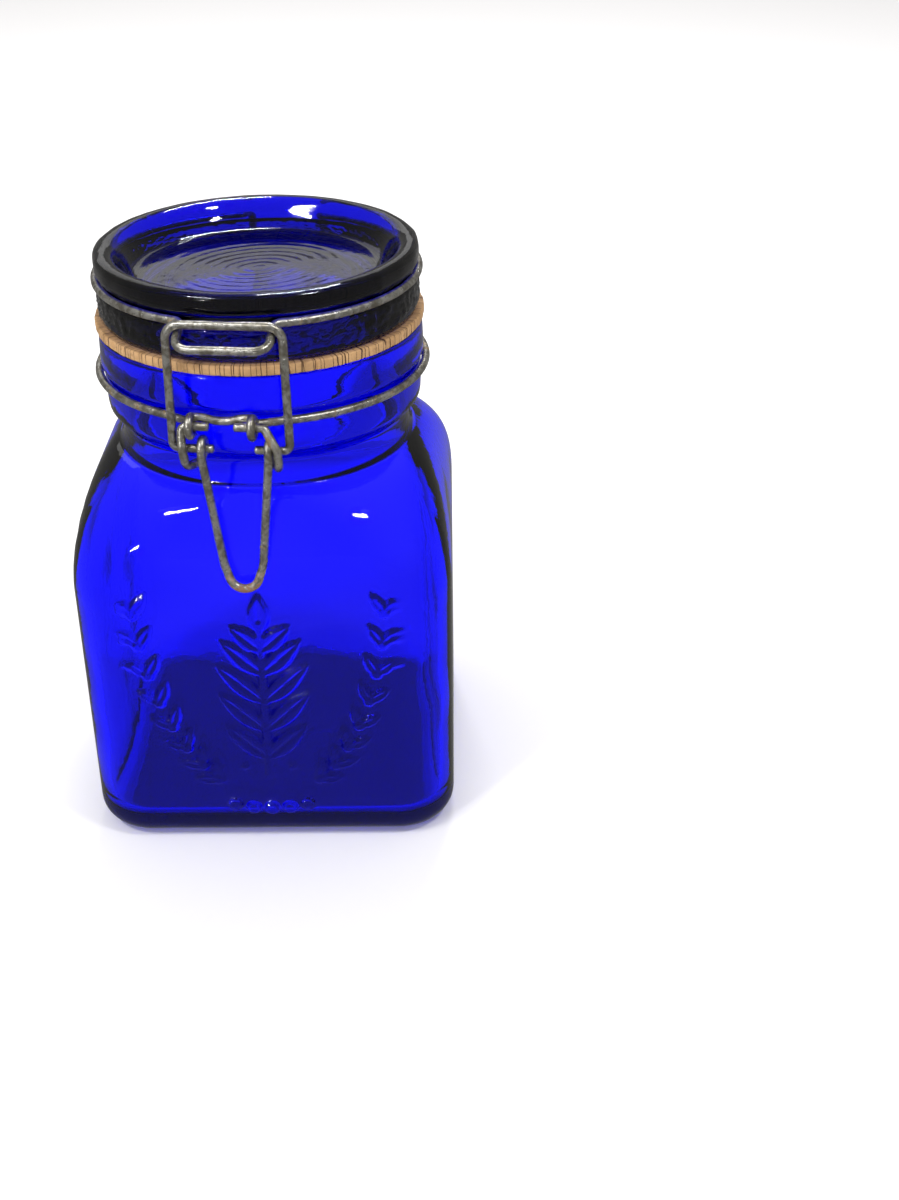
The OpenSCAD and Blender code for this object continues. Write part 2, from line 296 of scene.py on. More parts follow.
# grey weathering in clouds, stains and pinholes, for the wires and the rubber
def makeWeather():
    tree, given, out = makeGroup(
        "weather",
        [
            ("scale", number, 300.0),
            ("fresh", colour, (0.5, 0.5, 0.48, 1)),
            ("dull", colour, (0.2, 0.2, 0.18, 1)),
            ("stain", colour, (0.25, 0.17, 0.07, 1)),
            ("stainShare", number, 0.5),
        ],
        [("colour", colour), ("stains", number), ("height", number)],
    )
    where = placeOf(tree)
    cloud = grainOf(tree, where, given["scale"], 5.0, 0.62, 0.6)
    patch = grainOf(tree, where, maths(tree, "MULTIPLY", given["scale"], 0.45), 4.0, 0.65, 1.0)
    edge = maths(tree, "SUBTRACT", 0.74, maths(tree, "MULTIPLY", given["stainShare"], 0.3))
    stains = window(tree, patch, edge, maths(tree, "ADD", edge, 0.12))
    holes = addNode(tree, "ShaderNodeTexVoronoi", feature="F1")
    feed(tree, holes.inputs["Vector"], where)
    feed(tree, holes.inputs["Scale"], maths(tree, "MULTIPLY", given["scale"], 3.2))
    few = window(tree, grainOf(tree, where, given["scale"], 2.0), 0.48, 0.6)
    pits = maths(tree, "MULTIPLY", few, window(tree, holes.outputs["Distance"], 0.34, 0.12))
    grey = blendColour(tree, window(tree, cloud, 0.36, 0.64), given["dull"], given["fresh"])
    stained = blendColour(tree, stains, grey, given["stain"])
    feed(tree, out["colour"], blendColour(tree, pits, stained, given["dull"]))
    feed(tree, out["stains"], stains)
    lumps = maths(tree, "ADD", cloud, maths(tree, "MULTIPLY", stains, 0.25))
    feed(tree, out["height"], maths(tree, "SUBTRACT", lumps, maths(tree, "MULTIPLY", pits, 0.7)))
    return tree


smudge = makeSmudge()
ripple = makeRipple()
weather = makeWeather()


# cobalt glass, coloured through its thickness
glassLook = {
    "ior": 1.5,
    "surface": (0.95, 0.95, 1, 1),
    "smudgeScale": 55.0,
    "fineTimes": 6,       # the fine ripple's scale, over the slow one's
    "fineShare": 0.12,
    # tint and density through the thickness, ripple scale and depth, roughness clean and marked
    "jar": {
        "tint": (0.05, 0.02, 0.977, 1), "density": 620.0, "scale": 42.0, "depth": 0.0003,
        "clean": 0.0, "marked": 0.05,
    },
    "lid": {
        "tint": (0.05, 0.02, 0.90, 1), "density": 1000.0, "scale": 60.0, "depth": 0.0002,
        "clean": 0.03, "marked": 0.16,
    },
}


def cobaltGlass(name, look):
    mat, tree, shader = newMaterial(name)
    shader.inputs["Base Color"].default_value = glassLook["surface"]
    shader.inputs["Transmission Weight"].default_value = 1.0
    shader.inputs["IOR"].default_value = glassLook["ior"]
    marks = useGroup(
        tree, smudge, scale=glassLook["smudgeScale"], clean=look["clean"], marked=look["marked"],
    )
    feed(tree, shader.inputs["Roughness"], marks["roughness"])
    waves = useGroup(
        tree, ripple, scale=look["scale"], fine=look["scale"] * glassLook["fineTimes"],
        fineShare=glassLook["fineShare"],
    )
    feed(tree, shader.inputs["Normal"], bumpFrom(tree, waves["height"], look["depth"]))
    inside = addNode(tree, "ShaderNodeVolumeAbsorption")
    inside.inputs["Color"].default_value = look["tint"]
    inside.inputs["Density"].default_value = look["density"]
    feed(tree, tree.nodes["Material Output"].inputs["Volume"], inside.outputs["Volume"])
    return mat


# galvanised wire, gone grey, yellowish and a little rusty
zincLook = {
    "fresh": (0.62, 0.61, 0.56, 1),
    "dull": (0.28, 0.26, 0.21, 1),
    "stain": (0.27, 0.19, 0.10, 1),
    "rust": (0.20, 0.075, 0.025, 1),
    "metal": (0.95, 0.45, 0.05),      # bright, stained, rusty
    "rough": (0.33, 0.6, 0.85),
    "rustRise": 0.012,                # metres from all rust to none
    "depth": 0.00022,
}


def oldZinc(name, scale, stainShare, rust=0.0, rustBelow=None):
    mat, tree, shader = newMaterial(name)
    worn = useGroup(
        tree, weather, scale=scale, stainShare=stainShare,
        fresh=zincLook["fresh"], dull=zincLook["dull"], stain=zincLook["stain"],
    )
    look = worn["colour"]
    metal = blendValue(tree, worn["stains"], *zincLook["metal"][:2])
    rough = blendValue(tree, worn["stains"], *zincLook["rough"][:2])
    if rustBelow is not None:
        # rust gathers towards the low end of the piece
        where = placeOf(tree)
        high = addNode(tree, "ShaderNodeSeparateXYZ")
        feed(tree, high.inputs[0], where)
        low = window(tree, high.outputs["Z"], rustBelow + zincLook["rustRise"], rustBelow)
        spots = window(tree, grainOf(tree, where, scale * 1.4, 4.0, 0.6, 0.8), 0.42, 0.56)
        rusty = maths(tree, "MULTIPLY", maths(tree, "MULTIPLY", low, spots), rust)
        look = blendColour(tree, rusty, look, zincLook["rust"])
        metal = blendValue(tree, rusty, metal, zincLook["metal"][2])
        rough = blendValue(tree, rusty, rough, zincLook["rough"][2])
    feed(tree, shader.inputs["Base Color"], look)
    feed(tree, shader.inputs["Metallic"], metal)
    feed(tree, shader.inputs["Roughness"], rough)
    feed(tree, shader.inputs["Normal"], bumpFrom(tree, worn["height"], zincLook["depth"]))
    return mat


# tan rubber with radial cracks and dirt in them
rubberLook = {
    "fresh": (0.55, 0.33, 0.15, 1),
    "dull": (0.42, 0.24, 0.10, 1),
    "stain": (0.30, 0.16, 0.07, 1),
    "dirt": (0.09, 0.04, 0.02, 1),
    "rough": (0.62, 0.8),             # clean, stained
    "scale": 150.0,
    "stainShare": 0.3,
    "cellsAround": 22.0,              # crack cells per radian
    "cellsUp": 12.0,
    "wander": 420.0,
    "crack": (0.07, 0.042),           # distances where a crack starts and is full
    "crackDeep": 1.2,
    "depth": 0.0002,
}


def crackedRubber(name):
    mat, tree, shader = newMaterial(name)
    where = placeOf(tree)
    parts = addNode(tree, "ShaderNodeSeparateXYZ")
    feed(tree, parts.inputs[0], where)
    around = maths(tree, "ARCTAN2", parts.outputs["Y"], parts.outputs["X"])
    lines = addNode(tree, "ShaderNodeTexVoronoi", voronoi_dimensions="2D", feature="DISTANCE_TO_EDGE")
    spot = addNode(tree, "ShaderNodeCombineXYZ")
    feed(tree, spot.inputs[0], maths(tree, "MULTIPLY", around, rubberLook["cellsAround"]))
    feed(tree, spot.inputs[1], maths(tree, "MULTIPLY", parts.outputs["Z"], rubberLook["cellsUp"]))
    feed(tree, lines.inputs["Vector"], spot.outputs[0])
    lines.inputs["Scale"].default_value = 1.0
    wander = grainOf(tree, where, rubberLook["wander"], 3.0, 0.6)
    near = maths(tree, "ADD", lines.outputs["Distance"], maths(tree, "MULTIPLY", wander, 0.06))
    crack = window(tree, near, *rubberLook["crack"])
    worn = useGroup(
        tree, weather, scale=rubberLook["scale"], stainShare=rubberLook["stainShare"],
        fresh=rubberLook["fresh"], dull=rubberLook["dull"], stain=rubberLook["stain"],
    )
    look = blendColour(tree, crack, worn["colour"], rubberLook["dirt"])
    feed(tree, shader.inputs["Base Color"], look)
    feed(tree, shader.inputs["Roughness"], blendValue(tree, worn["stains"], *rubberLook["rough"]))
    cut = maths(tree, "MULTIPLY", crack, rubberLook["crackDeep"])
    height = maths(tree, "SUBTRACT", worn["height"], cut)
    feed(tree, shader.inputs["Normal"], bumpFrom(tree, height, rubberLook["depth"]))
    return mat


jarGlass = cobaltGlass("jarGlass", glassLook["jar"])
lidGlass = cobaltGlass("lidGlass", glassLook["lid"])
neckZinc = oldZinc("neckWireZinc", 330.0, 0.65)
lidZinc = oldZinc("lidWireZinc", 330.0, 0.45)
leverZinc = oldZinc("leverZinc", 380.0, 0.5, 0.9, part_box("lever")[0].z)
bailZinc = oldZinc("bailZinc", 380.0, 0.35)
tanRubber = crackedRubber("tanRubber")
print("materials ready")


# mesh helpers; every shape below is worked out in millimetres and built in metres
def makePiece(name, points, faces, mat, body, node):
    mesh = bpy.data.meshes.new(name)
    mesh.from_pydata((np.asarray(points) * mm).tolist(), [], faces)
    mesh.validate()
    mesh.materials.append(mat)
    mesh.shade_smooth()
    obj = bpy.data.objects.new(name, mesh)
    bpy.context.scene.collection.objects.link(obj)
    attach(obj, body)
    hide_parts(node)
    return obj


def smoothStep(low, high, x):
    t = np.clip((x - low) / (high - low), 0, 1)
    return t * t * (3 - 2 * t)


def cutCorners(points, times):
    # rounds an outline by cutting its corners again and again; its two ends stay
    p = np.array(points, float)
    for _ in range(times):
        a, b = p[:-1], p[1:]
        cut = np.empty((2 * len(a), p.shape[1]))
        cut[0::2] = a * 0.75 + b * 0.25
        cut[1::2] = a * 0.25 + b * 0.75
        p = np.vstack([p[:1], cut, p[-1:]])
    return p


def evenly(points, step):
    # the same outline with points about one step apart
    p = np.array(points, float)
    along = np.concatenate([[0], np.cumsum(np.linalg.norm(np.diff(p, axis=0), axis=1))])
    at = np.linspace(0, along[-1], max(2, round(along[-1] / step) + 1))
    return np.column_stack([np.interp(at, along, p[:, k]) for k in range(p.shape[1])])


def gridFaces(rows, around):
    # quads between neighbouring rings of points, each ring closed on itself
    faces = []
    for k in range(rows - 1):
        here, above = k * around, (k + 1) * around
        for i in range(around):
            j = (i + 1) % around
            faces.append((here + i, here + j, above + j, above + i))
    return faces


# the square jar; upright sizes come from the frame, the rest is glass work
jar = {
    "half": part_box("jar_body")[1].x / mm,
    "top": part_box("jar_body")[1].z / mm,
    "cornerR": 17.5,
    "wall": 4.0,
    "floor": 5.5,
    "heelR": 8.0,
    "innerHeelR": 6.5,
    "wallH": 82.0,
    "shoulderH": 36.0,
    "mouthR": 38.5,
    "rimT": 9.3,
    "collarIn": 0.7,
    "waistIn": 4.3,
    "waistH": 9.5,
    "wireDrop": 13.3,
    "wireR": 1.25,
    "faceStep": 0.45,      # mesh spacing on the decorated face
    "ringStep": 0.55,
    "neckStep": 0.8,
    "uneven": 0.10,       # how far the inside wanders
    "unevenFloor": 0.4,   # the floor's share of that
}
jar["rimR"] = jar["mouthR"] + jar["rimT"]
jar["waistR"] = jar["rimR"] - jar["waistIn"]
jar["collarR"] = jar["rimR"] - jar["collarIn"]
jar["shoulderZ"] = jar["wallH"] + jar["shoulderH"]
jar["wireZ"] = jar["top"] - jar["wireDrop"]


def reach(w, c, a):
    # distance from the axis to a rounded square of half-width w and corner radius c
    b = np.abs((a + math.pi / 4) % (math.pi / 2) - math.pi / 4)
    q = w - c
    flat = w / np.cos(b)
    bow = np.maximum(c * c - (q * (np.sin(b) - np.cos(b))) ** 2, 0)
    return np.where(w * np.tan(b) <= q, flat, q * (np.cos(b) + np.sin(b)) + np.sqrt(bow))


def jarAngles():
    # fine on the front flat, coarser on the corners and the other three flats
    w, c = jar["half"], jar["cornerR"]
    edge = math.atan2(w - c, w)
    fine = np.arctan(np.linspace(-(w - c), w - c, round(2 * (w - c) / jar["faceStep"])) / w)
    plain = np.linspace(-edge, edge, 18)
    bend = np.linspace(edge, math.pi / 2 - edge, 15)[1:-1]
    turns = [(-math.pi / 2, fine), (0, plain), (math.pi / 2, plain), (math.pi, plain)]
    return np.concatenate([np.concatenate([at + flat, at + bend]) for at, flat in turns])


def mix(a, b, t):
    return a + (b - a) * t


def shoulderRows(w, c, rTop, z, h, to, count):
    rows = []
    for i in range(count + 1):
        a = math.radians(to) * i / count
        s = (1 - math.cos(a)) / (1 - math.cos(math.radians(to)))
        here = mix(w, rTop, s)
        rows.append((here, mix(c, here, s), z + h * math.sin(a) / math.sin(math.radians(to))))
    return rows


def heelRows(w, c, r, z, count):
    rows = []
    for i in range(count + 1):
        a = math.pi / 2 * i / count
        pull = r * (1 - math.sin(a))
        rows.append((w - pull, max(c - pull, 3), z + r * (1 - math.cos(a))))
    return rows


def neckRows():
    rimR, waistR, collarR, wireR = jar["rimR"], jar["waistR"], jar["collarR"], jar["wireR"]
    low, wireZ, top = jar["shoulderZ"], jar["wireZ"], jar["top"]
    step = low + jar["waistH"]
    outline = [
        (waistR + 1.5, low - 2),
        (waistR + 0.7, low - 0.8),
        (waistR + 0.2, low + 0.8),
        (waistR, low + 3),
        (waistR, step - 3.5),
        (waistR + 0.8, step - 1.6),
        (collarR - 0.9, step - 0.4),
        (collarR, step + 0.8),
        (collarR, wireZ + wireR + 0.4),
        (rimR + 0.1, wireZ + wireR + 1.1),
        (rimR + 0.2, wireZ + wireR + 2.4),
        (rimR, top - 1.8),
        (rimR - 0.5, top - 0.5),
        (rimR - 1.6, top),
        (jar["mouthR"] + 1.5, top),
        (jar["mouthR"] + 0.4, top - 0.5),
        (jar["mouthR"], top - 1.8),
    ]
    return [(r, r, z) for r, z in evenly(cutCorners(outline, 3), jar["neckStep"])]


# raised leaves and beads on the front face, all generic
relief = {
    "height": 1.4,
    "rise": 0.32,         # smaller makes steeper sides
    "midrib": 0.45,
    "veinW": 0.45,
    "stemR": 1.1,
    "stemShort": 6.0,     # the stem ends this far under the sprig's top
    "sprigBase": (0.0, 24.0),
    "sprigTop": 84.0,
    "sprigLeaves": [(31, 17), (41, 19), (51, 19), (61, 16), (69, 12)],   # height up the stem, length
    "sprigSpread": 46.0,
    "leafW": 6.6,
    "topLeaf": 13.0,
    "topLeafDrop": 9.0,
    "budR": 1.2,
    "budOut": 0.42,       # share of the leaf's length
    "budDrop": 3.4,
    "budTall": 0.8,
    "garlandCentre": (0.0, 92.0),
    "garlandSize": (37.0, 76.0),
    "garlandFrom": 188.0,
    "garlandSpan": 164.0,
    "garlandSteps": 20,
    "garlandGap": 15.0,   # left free in the middle, each way
    "garlandLeaf": (7.6, 3.7),
    "garlandSpread": 38.0,
    "garlandTall": 0.95,
    "beadR": 1.8,
    "rowBeads": 5,
    "rowBeadR": 2.3,
    "rowZ": 12.0,
    "rowStep": 5.6,
    "rowCurve": 0.4,
    "fadeLow": 92.0,
    "fadeHigh": 98.0,
}


def leafHeight(x, z, base, turn, length, width, height):
    c, s = math.cos(math.radians(turn)), math.sin(math.radians(turn))
    along = (x - base[0]) * c + (z - base[1]) * s
    across = -(x - base[0]) * s + (z - base[1]) * c
    t = np.clip(along / length, 0.001, 0.999)
    halfW = width / 2 * np.sin(math.pi * t ** 0.8) ** 0.9
    full = np.clip(1 - (across / np.maximum(halfW, 0.05)) ** 2, 0, 1)
    full = full * ((along > 0) & (along < length))
    vein = relief["midrib"] * np.exp(-(across / relief["veinW"]) ** 2)
    return height * smoothStep(0, relief["rise"], full) * (1 - vein)


def beadHeight(x, z, at, r, height):
    far = ((x - at[0]) ** 2 + (z - at[1]) ** 2) / (r * r)
    return height * smoothStep(0, relief["rise"], 1 - far)


def stemHeight(x, z, a, b, r, height):
    d = np.array(b, float) - a
    t = np.clip(((x - a[0]) * d[0] + (z - a[1]) * d[1]) / (d @ d), 0, 1)
    far = ((x - a[0] - t * d[0]) ** 2 + (z - a[1] - t * d[1]) ** 2) / (r * r)
    return height * smoothStep(0, relief["rise"], 1 - far)


def sprigHeight(x, z):
    (x0, z0), top, tall = relief["sprigBase"], relief["sprigTop"], relief["height"]
    wide = relief["leafW"]
    parts = [stemHeight(x, z, (x0, z0), (x0, top - relief["stemShort"]), relief["stemR"], tall)]
    for up, length in relief["sprigLeaves"]:
        for side in (-1, 1):
            turn = 90 - side * relief["sprigSpread"]
            bud = (x0 + side * length * relief["budOut"], up - relief["budDrop"])
            parts.append(leafHeight(x, z, (x0, up), turn, length, wide, tall))
            parts.append(beadHeight(x, z, bud, relief["budR"], tall * relief["budTall"]))
    tip = (x0, top - relief["topLeafDrop"])
    parts.append(leafHeight(x, z, tip, 90, relief["topLeaf"], wide, tall))
    return np.max(parts, axis=0)


def garlandHeight(x, z):
    (cx, cz), (a, b), steps = relief["garlandCentre"], relief["garlandSize"], relief["garlandSteps"]
    (long, wide), tall = relief["garlandLeaf"], relief["height"]
    parts = []
    for i in range(steps + 1):
        t = math.radians(relief["garlandFrom"] + relief["garlandSpan"] * i / steps)
        spot = (cx + a * math.cos(t), cz + b * math.sin(t))
        if abs(spot[0]) < relief["garlandGap"]:
            continue
        lean = math.degrees(math.atan2(b * math.cos(t), -a * math.sin(t)))
        up = lean + 180 if i < steps / 2 else lean
        for side in (-1, 1):
            turn = up + side * relief["garlandSpread"]
            parts.append(leafHeight(x, z, spot, turn, long, wide, tall * relief["garlandTall"]))
        parts.append(beadHeight(x, z, spot, relief["beadR"], tall))
    return np.max(parts, axis=0)


def rowHeight(x, z):
    count = relief["rowBeads"]
    parts = []
    for i in range(count):
        off = i - (count - 1) / 2
        spot = (off * relief["rowStep"], relief["rowZ"] + relief["rowCurve"] * off ** 2)
        parts.append(beadHeight(x, z, spot, relief["rowBeadR"], relief["height"]))
    return np.max(parts, axis=0)


def reliefHeight(x, z):
    return np.max([sprigHeight(x, z), garlandHeight(x, z), rowHeight(x, z)], axis=0)


def outerRows():
    # from near the middle of the base, up the outside and over the rim
    half, corner, heel = jar["half"], jar["cornerR"], jar["heelR"]
    wallH, shoulderH = jar["wallH"], jar["shoulderH"]
    rows = [(half * k, corner * k * 0.5, 0) for k in (0.3, 0.6)]
    rows += heelRows(half, corner, heel, 0, 10)[:-1]
    count = round((wallH - heel) / jar["ringStep"])
    rows += [(half, corner, z) for z in np.linspace(heel, wallH, count)]
    rows += shoulderRows(half, corner, jar["waistR"] + 1.5, wallH, shoulderH - 2, 76, 60)[1:-1]
    return rows + neckRows()


def innerRows():
    # from the mouth down the inside to near the middle of the floor
    half, corner = jar["half"] - jar["wall"], jar["cornerR"] - jar["wall"]
    heel, floor, wallH = jar["innerHeelR"], jar["floor"], jar["wallH"]
    rows = shoulderRows(half, corner, jar["mouthR"], wallH, jar["shoulderH"] - 3, 82, 26)[::-1]
    rows += [(half, corner, z) for z in np.linspace(wallH, floor + heel, 22)][1:-1]
    rows += heelRows(half, corner, heel, floor, 10)[::-1]
    return rows + [((half - heel) * k, max(3 * k, 1), floor) for k in (0.75, 0.5, 0.25)]


def pressRelief(x, y, z, w):
    # pushes the front face out where it carries ornament
    half, corner, heel = jar["half"], jar["cornerR"], jar["heelR"]
    front = y < -w + 0.02 * w
    edge = smoothStep(half - corner + 3, half - corner - 1, np.abs(x))
    fade = smoothStep(heel - 4, heel + 0.5, z)
    fade = fade * smoothStep(relief["fadeHigh"], relief["fadeLow"], z)
    return y - np.where(front, reliefHeight(x, z) * edge * fade, 0)


def wanderInside(x, y, z, angles):
    # the inside of pressed glass is never quite true
    wave = np.sin(angles * 5 + z * 0.11)
    wave = wave + 0.7 * np.sin(angles * 9 - z * 0.17 + 1) + 0.5 * np.sin(z * 0.31 + 2)
    push = jar["uneven"] * wave * smoothStep(jar["shoulderZ"], jar["wallH"], z)
    if z[0] > jar["floor"] + 0.01:
        return x * (1 + push / 50), y * (1 + push / 50), z
    return x, y, z + jar["unevenFloor"] * push


def makeJar():
    angles = jarAngles()
    n = len(angles)
    outer, inner = outerRows(), innerRows()
    points = []
    for k, (w, c, z) in enumerate(outer + inner):
        r = reach(w, c, angles)
        x, y = r * np.cos(angles), r * np.sin(angles)
        zz = np.full(n, float(z))
        if k < len(outer) and z < relief["fadeHigh"]:
            y = pressRelief(x, y, zz, w)
        if k >= len(outer) and z < jar["shoulderZ"]:
            x, y, zz = wanderInside(x, y, zz, angles)
        points.append(np.column_stack([x, y, zz]))
    count = len(points)
    total = count * n
    points = np.vstack(points + [[[0, 0, 0], [0, 0, jar["floor"]]]])
    faces = gridFaces(count, n)
    faces += [(total, (i + 1) % n, i) for i in range(n)]
    faces += [(total + 1, total - n + i, total - n + (i + 1) % n) for i in range(n)]
    makePiece("jarBody", points, faces, jarGlass, "jar", "jar_body")


makeJar()
print("jar ready")


# the glass lid, turned round the axis
lid = {
    "low": jar["top"] + 3.0,
    "top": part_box("lid")[1].z / mm,
    "outR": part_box("lid")[1].x / mm,
    "wireDrop": 8.0,
    "recess": 8.2,
    "rimW": 5.2,
    "panel": 6.2,
    "boss": 5.2,
    "ringGap": 3.4,       # distance between the ripple rings in the recess
    "ringDeep": 0.024,
    "grit": 0.30,         # bumps on the side band
    "gritWaves": 0.10,
    "around": 300,
    "step": 0.8,
    "seams": (-38.0, 142.0),
    "seamHigh": 0.22,
    "seamWide": 0.018,    # radians
    "rimWaves": (0.08, 0.05),
    "bossIn": 1.6,
    "grooveIn": 1.6,
}
lid["bossR"] = jar["mouthR"] - lid["bossIn"]
lid["grooveR"] = lid["outR"] - lid["grooveIn"]
lid["wireZ"] = lid["top"] - lid["wireDrop"]


def lidOutline():
    top, low, outR, bossR, wireZ = lid["top"], lid["low"], lid["outR"], lid["bossR"], lid["wireZ"]
    recessZ, recessR = top - lid["recess"], outR - lid["rimW"]
    underZ, bossZ, grooveR = recessZ - lid["panel"], low - lid["boss"], lid["grooveR"]
    return [
        (0, recessZ), (recessR - 7.4, recessZ), (recessR - 5.6, recessZ + 0.6),
        (recessR - 3.6, recessZ + 2.6), (recessR - 1.2, top - 2.2), (recessR - 0.2, top - 0.8),
        (recessR + 1.2, top - 0.1), (recessR + 2.6, top), (outR - 0.9, top - 0.3),
        (outR, top - 1.4), (outR, top - 5), (outR - 0.6, top - 5.9),
        (grooveR, wireZ + 1.3), (grooveR, wireZ - 1.2), (outR - 0.8, wireZ - 1.9),
        (outR - 0.2, wireZ - 2.8), (outR - 0.2, low + 1.6), (outR - 0.6, low + 0.6),
        (outR - 1.8, low), (bossR, low), (bossR, low - 2.8), (bossR - 1.3, bossZ + 0.8),
        (bossR - 3, bossZ), (bossR - 5.4, bossZ), (bossR - 6.4, bossZ + 0.8),
        (bossR - 7.6, underZ - 1.6), (bossR - 10, underZ), (0, underZ),
    ]


def rippleRings(r, angles, phase):
    # faint rings pressed in the recess, not quite round
    wobble = 1 + 0.25 * np.sin(2 * angles + phase) / (1 + r / 12)
    rings = np.sin(2 * math.pi * r / lid["ringGap"] * wobble)
    return lid["ringDeep"] * rings * smoothStep(31, 24, r) * smoothStep(0, 3, r)


def gritOf(z, angles, phase, rng):
    waves = np.sin(31 * angles + z) * np.sin(17 * angles + 2 * z + phase)
    return lid["grit"] * rng.uniform(-1, 1, len(angles)) + lid["gritWaves"] * waves


def seamsOf(angles, phases):
    # two mould seams and a slightly uneven rim
    out = np.zeros(len(angles))
    for seam in lid["seams"]:
        off = (angles - math.radians(seam) + math.pi) % (2 * math.pi) - math.pi
        out = out + lid["seamHigh"] * np.exp(-(off / lid["seamWide"]) ** 2)
    wide, fine = lid["rimWaves"]
    return out + wide * np.sin(13 * angles + phases[2]) + fine * np.sin(29 * angles + phases[3])


def makeLid():
    rng = np.random.default_rng(7)
    profile = evenly(cutCorners(lidOutline(), 3), lid["step"])[1:-1]
    n = lid["around"]
    angles = np.arange(n) * 2 * math.pi / n
    recessZ = lid["top"] - lid["recess"]
    phases = rng.uniform(0, 2 * math.pi, 8)
    rows = []
    for r, z in profile:
        rr, zz = np.full(n, r), np.full(n, z)
        if z > recessZ - 0.3 and r < lid["outR"] - 12:
            zz = zz + rippleRings(r, angles, phases[0])
        if lid["low"] + 2 < z < lid["wireZ"] - 2.2 and r > lid["outR"] - 2:
            rr = rr + gritOf(z, angles, phases[1], rng)
        if r > lid["outR"] - 4 and z > lid["wireZ"]:
            rr = rr + seamsOf(angles, phases)
        rows.append(np.column_stack([rr * np.cos(angles), rr * np.sin(angles), zz]))
    count = len(rows)
    points = np.vstack(rows + [[[0, 0, recessZ], [0, 0, recessZ - lid["panel"]]]])
    faces = [tuple(reversed(f)) for f in gridFaces(count, n)]
    faces += [(count * n, i, (i + 1) % n) for i in range(n)]
    faces += [(count * n + 1, (count - 1) * n + (i + 1) % n, (count - 1) * n + i) for i in range(n)]
    makePiece("glassLid", points, faces, lidGlass, "lid", "lid")


makeLid()
print("lid ready")


# the rubber ring and its pull tab
ring = {
    "low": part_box("gasket")[0].z / mm,
    "top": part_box("gasket")[1].z / mm,
    "outR": jar["rimR"] + 0.5,
    "holeR": lid["bossR"] + 0.1,
    "edge": 0.5,          # rounding of the outer edge
    "tabL": 12.0,
    "tabW": 16.0,
    "tabTurn": 52.0,
    "tabDrop": 1.6,
    "around": 1800,
    "cracks": 95,
    "crackDeep": (0.08, 0.4),
    "crackWide": 0.005,   # radians
}


def ringEdge(angles):
    # outer edge of the ring with the rounded tab, as a distance from the axis
    off = (angles - math.radians(ring["tabTurn"]) + math.pi) % (2 * math.pi) - math.pi
    half, endR = ring["tabW"] / 2, ring["outR"] + ring["tabL"]
    side = half / np.maximum(np.abs(np.sin(off)), 1e-6)
    middle = endR - half
    under = np.maximum(half ** 2 - (middle * np.sin(off)) ** 2, 0)
    end = middle * np.cos(off) + np.sqrt(under)
    tab = np.where(side * np.cos(off) < middle, side, end)
    near = (np.abs(off) < 0.5) & (np.abs(np.sin(off)) * ring["outR"] < half)
    return np.where(near, np.maximum(np.minimum(tab, end), ring["outR"]), ring["outR"])


def makeRing():
    rng = np.random.default_rng(11)
    n = ring["around"]
    angles = np.arange(n) * 2 * math.pi / n
    outer = ringEdge(angles)
    places = rng.uniform(0, 2 * math.pi, ring["cracks"])
    depths = rng.uniform(*ring["crackDeep"], ring["cracks"])
    for at, deep in zip(places, depths):
        off = (angles - at + math.pi) % (2 * math.pi) - math.pi
        outer = outer - deep * np.exp(-(off / ring["crackWide"]) ** 2)
    outer = outer + 0.06 * np.sin(23 * angles) + 0.05 * np.sin(57 * angles + 1)
    # each row: share of the way out from the hole, how far it is pulled in, height
    low, top, edge = ring["low"], ring["top"], ring["edge"]
    flat = (0, 0.3, 0.6, 0.85, 0.95)
    turns = [math.radians(a) for a in (90, 60, 30, 0)]
    rows = [(k, 0.0, top) for k in flat]
    rows += [(1, edge * (1 - math.cos(a)), top - edge * (1 - math.sin(a))) for a in turns]
    rows += [(1, 0, (top + low) / 2)]
    rows += [(1, edge * (1 - math.cos(a)), low + edge * (1 - math.sin(a))) for a in reversed(turns)]
    rows += [(k, 0.0, low) for k in reversed(flat)]
    points = []
    for k, pull, z in rows:
        r = ring["holeR"] + (outer - ring["holeR"]) * k - pull
        past = np.maximum(r - ring["outR"], 0)
        zz = z - ring["tabDrop"] * (past / ring["tabL"]) ** 1.6
        points.append(np.column_stack([r * np.cos(angles), r * np.sin(angles), zz]))
    count = len(rows)
    faces = [tuple(reversed(f)) for f in gridFaces(count, n)]
    last = (count - 1) * n
    faces += [(last + (i + 1) % n, (i + 1) % n, i, last + i) for i in range(n)]
    makePiece("rubberRing", np.vstack(points), faces, tanRubber, "lid", "gasket")


makeRing()
print("rubber ring ready")


